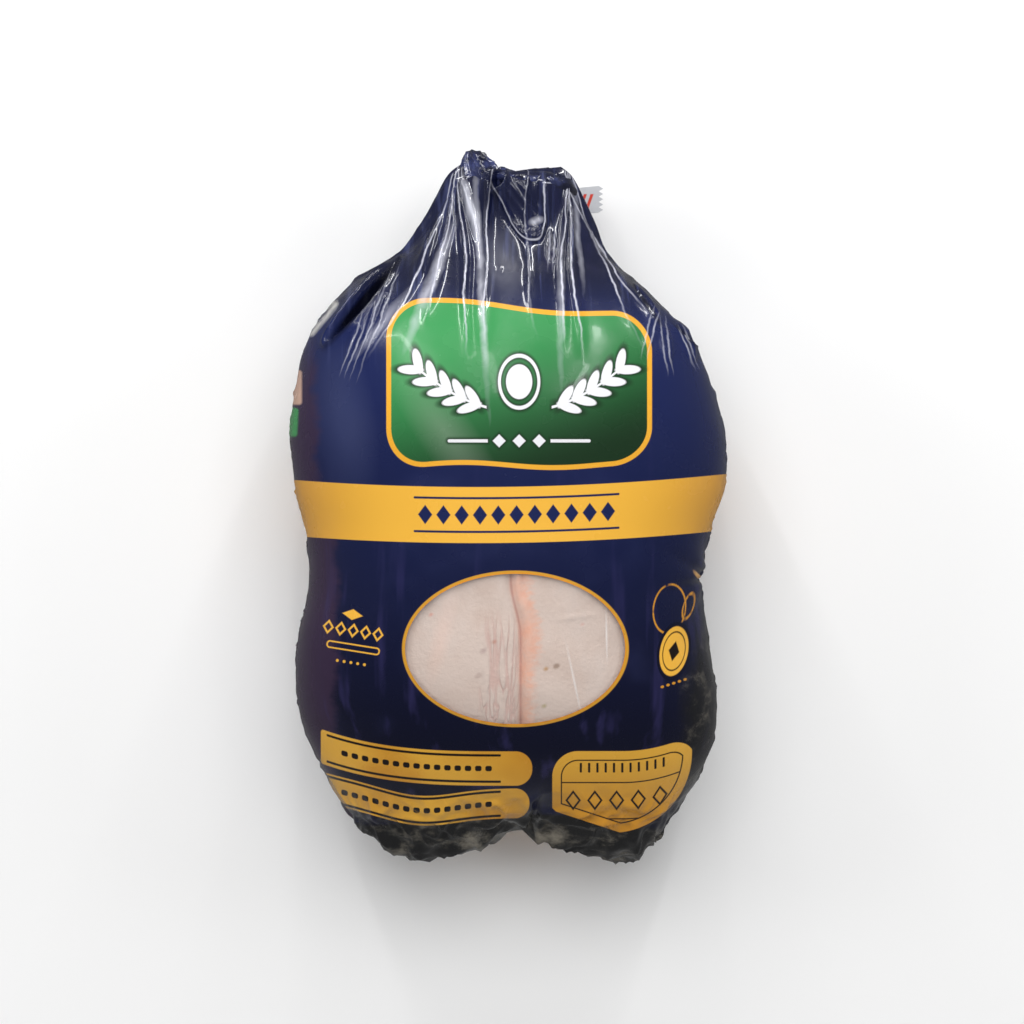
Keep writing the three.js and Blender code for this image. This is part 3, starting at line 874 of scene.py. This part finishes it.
def clear_film():
    """Clear film with two pale crease lines, painted highlights where its creases glint."""
    s = Shader("clear_film")
    s.material.blend_method = "BLEND"
    # painted highlights: two pale lines where creases in the film glint
    crease = s.inside(s.oval(s.turned(34.5, -45.5, 1), 0.3, 6.0), 0.7)
    fold = s.inside(s.oval(s.turned(23.2, -61.4, 12), 0.3, 8.0), 0.9)
    haze = s.ramp(s.noise(60.0, 4.0, stretch=(1, 0.4, 1)), 0.5, 0.8, 0.06, 0.2)
    return s.finish(
        Base_Color=(1, 1, 1, 1),
        Roughness=0.07,
        Alpha=s.high(haze, s.mul(s.high(crease, fold), 0.5)),
    )


# specks on the skin: middle, half length, colour
SPECKS = (
    (13.3, -57.0, 0.9, colour(168, 122, 58)),
    (17.0, -56.0, 1.3, colour(142, 116, 96)),
    (-4.8, -47.6, 0.8, colour(186, 128, 108)),
    (-8.6, -50.7, 1.2, colour(176, 152, 146)),
    (-10.4, -59.5, 1.2, colour(182, 160, 150)),
    (12.7, -70.0, 0.7, colour(164, 148, 104)),
    (-27.0, -38.0, 0.6, colour(214, 148, 130)),
    (26.0, -41.5, 0.5, colour(206, 160, 148)),
)


def raw_skin():
    """Moist pale skin with a salmon keel crease, a pink streak and a few specks."""
    s = Shader("raw_skin")
    cloud = s.ramp(s.noise(55.0, 4.0), 0.42, 0.8)
    tone = s.paint(colour(206, 187, 176), colour(194, 171, 158), cloud)
    streak = s.inside(s.oval(s.turned(-23, -45, -14), 2.4, 13.0), 3.0)
    tone = s.paint(tone, colour(226, 188, 172), s.mul(streak, 0.3))
    crease_u = s.add(KEEL_U, s.ramp(s.v, *KEEL_BEND, 0.0, -KEEL_LEAN))
    past = s.sub(s.u, crease_u)
    ragged = s.mul(s.sub(s.noise(360.0, 5.0, 0.75, stretch=(0.6, 1.6, 1)), 0.5), 11.0)
    width = s.ramp(s.v, -48.0, -60.0, 6.6, 4.0)
    salmon = s.mul(s.ramp(past, -1.2, 0.2), s.ramp(s.add(s.sub(past, width), ragged), 2.4, -2.4))
    patchy = s.ramp(s.noise(150.0, 4.0), 0.25, 0.7, 0.9, 0.35)
    tone = s.paint(tone, colour(222, 160, 132), s.mul(salmon, patchy))
    # painted shade: a darker line along the bottom of the crease
    crease_shade = s.inside(s.sub(s.size(past), 0.25), 0.9)
    tone = s.paint(tone, colour(172, 104, 90), s.mul(crease_shade, 0.75))
    loose = s.mul(s.inside(s.sub(s.size(s.add(s.u, 3.0)), 6.5), 4.0), s.ramp(s.v, -34.0, -48.0))
    grain = s.sub(s.noise(210.0, 2.0, 0.5, stretch=(1, 0.07, 1)), 0.5)
    wrinkles = s.mul(s.ramp(s.size(grain), 0.04, 0.0), loose)
    # painted shade: the wrinkle lines are laid darker pink, as shade in their grooves
    tone = s.paint(tone, colour(190, 142, 132), s.mul(wrinkles, 0.5))
    for x, y, half, ink in SPECKS:
        speck = s.add(s.oval(s.turned(x, y, 30), half, 0.7 * half), s.mul(ragged, 0.12))
        tone = s.paint(tone, ink, s.mul(s.inside(speck, 0.8), 0.8))
    return s.finish(
        Base_Color=tone,
        Roughness=0.38,
        Normal=s.bump(s.sub(s.noise(700.0, 3.0), wrinkles), 0.0004, 0.6),
    )


def tape_paper():
    """White tape, slightly grey, with two slanting red bars near its toothed end."""
    s = Shader("tape_paper")
    along = s.sub(s.on_object("Y"), 109.0)
    lean = s.sub(s.sub(s.on_object("X"), 27.9), s.mul(along, 0.35))
    bars = s.sub(s.size(s.sub(s.size(lean), 1.2)), 0.55)
    bars = s.high(bars, s.sub(s.size(along), 2.8))
    tone = s.paint(colour(186, 188, 194), colour(206, 207, 211), s.noise(300.0, 3.0))
    tone = s.paint(tone, colour(206, 62, 46), s.inside(bars, 0.3))
    return s.finish(Base_Color=tone, Roughness=0.5, Normal=s.bump(s.noise(600.0), 0.0002, 0.4))


def film_pieces(material, clear):
    """The printed bag, open at the window, and the clear film that fills the opening."""
    points, angle = pack_grid(rows=300, sides=330, crowding=0.45)
    points = points + grid_normals(points) * film_height(points, angle)[..., None]
    points[..., 1] += 1.2 * smooth(-points[..., 1], 104, 116) * waves(points, 7, 33)
    points[..., 2] = np.maximum(points[..., 2], 0)
    notch_y = points[-1, :, 1].max()
    points, faces, ends = capped(points)
    # the foot's end is drawn in as far as the notch between its lobes
    points[-1, 1] = notch_y + 1
    across, along = points[:, 0] - WINDOW_X, points[:, 1] - WINDOW_Y
    reach = np.sqrt((across / WINDOW_WIDE) ** 2 + (along / WINDOW_LONG) ** 2)
    # points of the lower half count as far outside the window
    reach = np.where(points[:, 2] > WIDEST_Z, reach, 9.0)
    in_window = reach[faces].mean(1) < 1
    edge = np.intersect1d(faces[in_window], faces[~in_window])
    points[edge, 0] = WINDOW_X + across[edge] / reach[edge]
    points[edge, 1] = WINDOW_Y + along[edge] / reach[edge]
    bag = make_mesh("film_bag", points, (faces[~in_window], ends), material)
    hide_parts("bag")
    pane = make_mesh("film_window", points, (faces[in_window],), clear)
    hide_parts("window")


def pleated_tube(name, path, width, depth, pleats, across, material, twist):
    """Closed tube along a path, its oval section pleated as gathered film is."""
    rows, sides = 70, 180
    place = np.linspace(0, len(path) - 1, rows)
    centre = np.stack([between(column, place) for column in zip(*path)], -1)
    forward = np.gradient(centre, axis=0)
    forward /= np.linalg.norm(forward, axis=1, keepdims=True)
    upward = np.cross(forward, across)
    upward /= np.linalg.norm(upward, axis=1, keepdims=True)
    sideways = np.cross(upward, forward)
    turn = np.arange(sides) * 2 * math.pi / sides
    angle = turn[None, :] + twist * np.linspace(0, 1, rows)[:, None]
    fold = 1 - 2 * np.abs(np.sin(pleats * angle / 2 + 0.5 * np.sin(2 * turn)))
    section = 1 + 0.15 * fold
    end = np.linspace(0, 1, rows)
    closing = np.sqrt(1 - np.clip(1 - np.minimum(end, 1 - end) / 0.06, 0, 0.98) ** 2)
    half_width = (between(width, place) * closing)[:, None] * section
    half_depth = (between(depth, place) * closing)[:, None] * section
    points = centre[:, None] + sideways[:, None] * (half_width * np.cos(turn))[..., None]
    points = points + upward[:, None] * (half_depth * np.sin(turn))[..., None]
    points += grid_normals(points) * (0.7 * (crumple(points, 8, 90) - MEAN_CRUMPLE))[..., None]
    points[..., 2] = np.maximum(points[..., 2], 0)
    points, faces, ends = capped(points)
    piece = make_mesh(name, points, (faces, ends), material)
    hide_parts("bag")


def gathered_film():
    """Bunch and ridge on top of the neck, and the tail turned back behind it."""
    film = plain_film()
    pleated_tube("film_bunch", BUNCH_PATH, BUNCH_WIDTH, BUNCH_DEPTH, 9, (1, 0, 0), film, 0.5)
    pleated_tube("film_ridge", RIDGE_PATH, RIDGE_WIDTH, RIDGE_DEPTH, 4, (0, 1, 0), film, 1.2)
    pleated_tube("film_tail", TAIL_PATH, TAIL_WIDTH, TAIL_DEPTH, 9, (1, 0, 0), film, 0.4)


def dome(share):
    """How full the bird is at a share of its length, round at both ends."""
    from_end = np.minimum(1, np.minimum(share, 1 - share) / 0.18 + 0.02)
    return np.sqrt(1 - (1 - from_end) ** 2)


def skin_height(u, v):
    """Keel crease, with loose folds of skin beside it."""
    keel = KEEL_U - KEEL_LEAN * smooth(v, *KEEL_BEND)
    height = -2.2 * crest(u - keel, 0.9, 0.3) - 1.0 * crest(u - 5.2, 0.6, 0.4) * smooth(v, -36, -30)
    height += 0.4 * bell(u - keel - 3.5, 2.6)
    for path, start, rise in SKIN_FOLDS:
        line = path + 0.5 * np.sin(0.45 * v + path)
        height += rise * crest(u - line, 0.45, 0.4) * smooth(-v, -start, -start + 7)
    ruck = crest((v + 38.6) - 0.12 * (u - 26), 0.5, 0.4)
    height += 0.35 * ruck * smooth(u, 16, 21) * smooth(-u, -33, -28)
    return height * smooth(-v, 5, 25)


def bird(material):
    """The bird as one body that fills the bag, its skin close under the window."""
    points, _ = pack_grid(260, 260, 0.7, first=5.2, last=15.7, inset=FILM + 0.6, shrink=dome)
    u, v = as_seen(points)
    onto = smooth(points[..., 2], 60, 80)
    points[..., 2] += onto * (skin_height(u, v) + 0.4 + 0.2 * waves(points, 9, 21))
    points, faces, ends = capped(points)
    body = make_mesh("bird", points, (faces, ends), material)
    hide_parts("chicken")


def stage():
    """Plain pale floor and an even dim world."""
    mesh = bpy.data.meshes.new("floor")
    mesh.from_pydata([(-3, -3, 0), (3, -3, 0), (3, 3, 0), (-3, 3, 0)], [], [(0, 1, 2, 3)])
    floor = bpy.data.objects.new("floor", mesh)
    bpy.context.scene.collection.objects.link(floor)
    floor.visible_glossy = False
    s = Shader("floor_white")
    mesh.materials.append(s.finish(Base_Color=(0.95, 0.95, 0.95, 1), Roughness=0.7))

    world = bpy.data.worlds.new("studio")
    bpy.context.scene.world = world
    world.use_nodes = True
    world.node_tree.nodes["Background"].inputs["Color"].default_value = (1, 1, 1, 1)
    world.node_tree.nodes["Background"].inputs["Strength"].default_value = 0.15


def softbox(name, place, width, length, power, mirrored=False):
    """Area light aimed at the pack; only mirrored ones show in the film's gloss."""
    lamp = bpy.data.lights.new(name, "AREA")
    lamp.shape = "RECTANGLE"
    lamp.size, lamp.size_y = width, length
    lamp.energy = power
    holder = bpy.data.objects.new(name, lamp)
    holder.location = place
    aim = Vector((0, 0, 0.05)) - Vector(place)
    holder.rotation_euler = aim.to_track_quat("-Z", "Y").to_euler()
    holder.visible_glossy = mirrored
    bpy.context.scene.collection.objects.link(holder)


def studio():
    """Broad soft lights, and three narrow ones that the glossy film mirrors as lines."""
    softbox("overhead", (0.0, 0.5, 1.35), 1.4, 1.0, 13)
    softbox("side_left", (-1.1, 0.3, 0.7), 0.5, 0.5, 3.5)
    softbox("side_right", (1.1, 0.3, 0.7), 0.5, 0.5, 3.0)
    softbox("front", (0.1, -1.1, 0.9), 0.8, 0.6, 2.6)
    strips = (("strip_middle", -0.04, 1.6), ("strip_left", -0.42, 3), ("strip_right", 0.38, 3))
    for name, x, power in strips:
        softbox(name, (x, 1.0, 0.5), 0.03, 0.9, power, mirrored=True)


def make_camera():
    """Camera far above the pack, looking straight down."""
    lens_data = bpy.data.cameras.new("camera")
    lens_data.sensor_width = 36
    lens_data.lens = lens_data.sensor_width * CAMERA_FAR / VIEW_WIDTH
    holder = bpy.data.objects.new("camera", lens_data)
    holder.location = (CAMERA_X * METRE, CAMERA_Y * METRE, (WIDEST_Z + CAMERA_FAR) * METRE)
    bpy.context.scene.collection.objects.link(holder)
    bpy.context.scene.camera = holder


film_pieces(printed_film(), clear_film())
gathered_film()
bird(raw_skin())
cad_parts["tape"].data.materials.clear()
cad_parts["tape"].data.materials.append(tape_paper())
stage()
studio()
make_camera()
bpy.context.scene.view_settings.view_transform = "Standard"
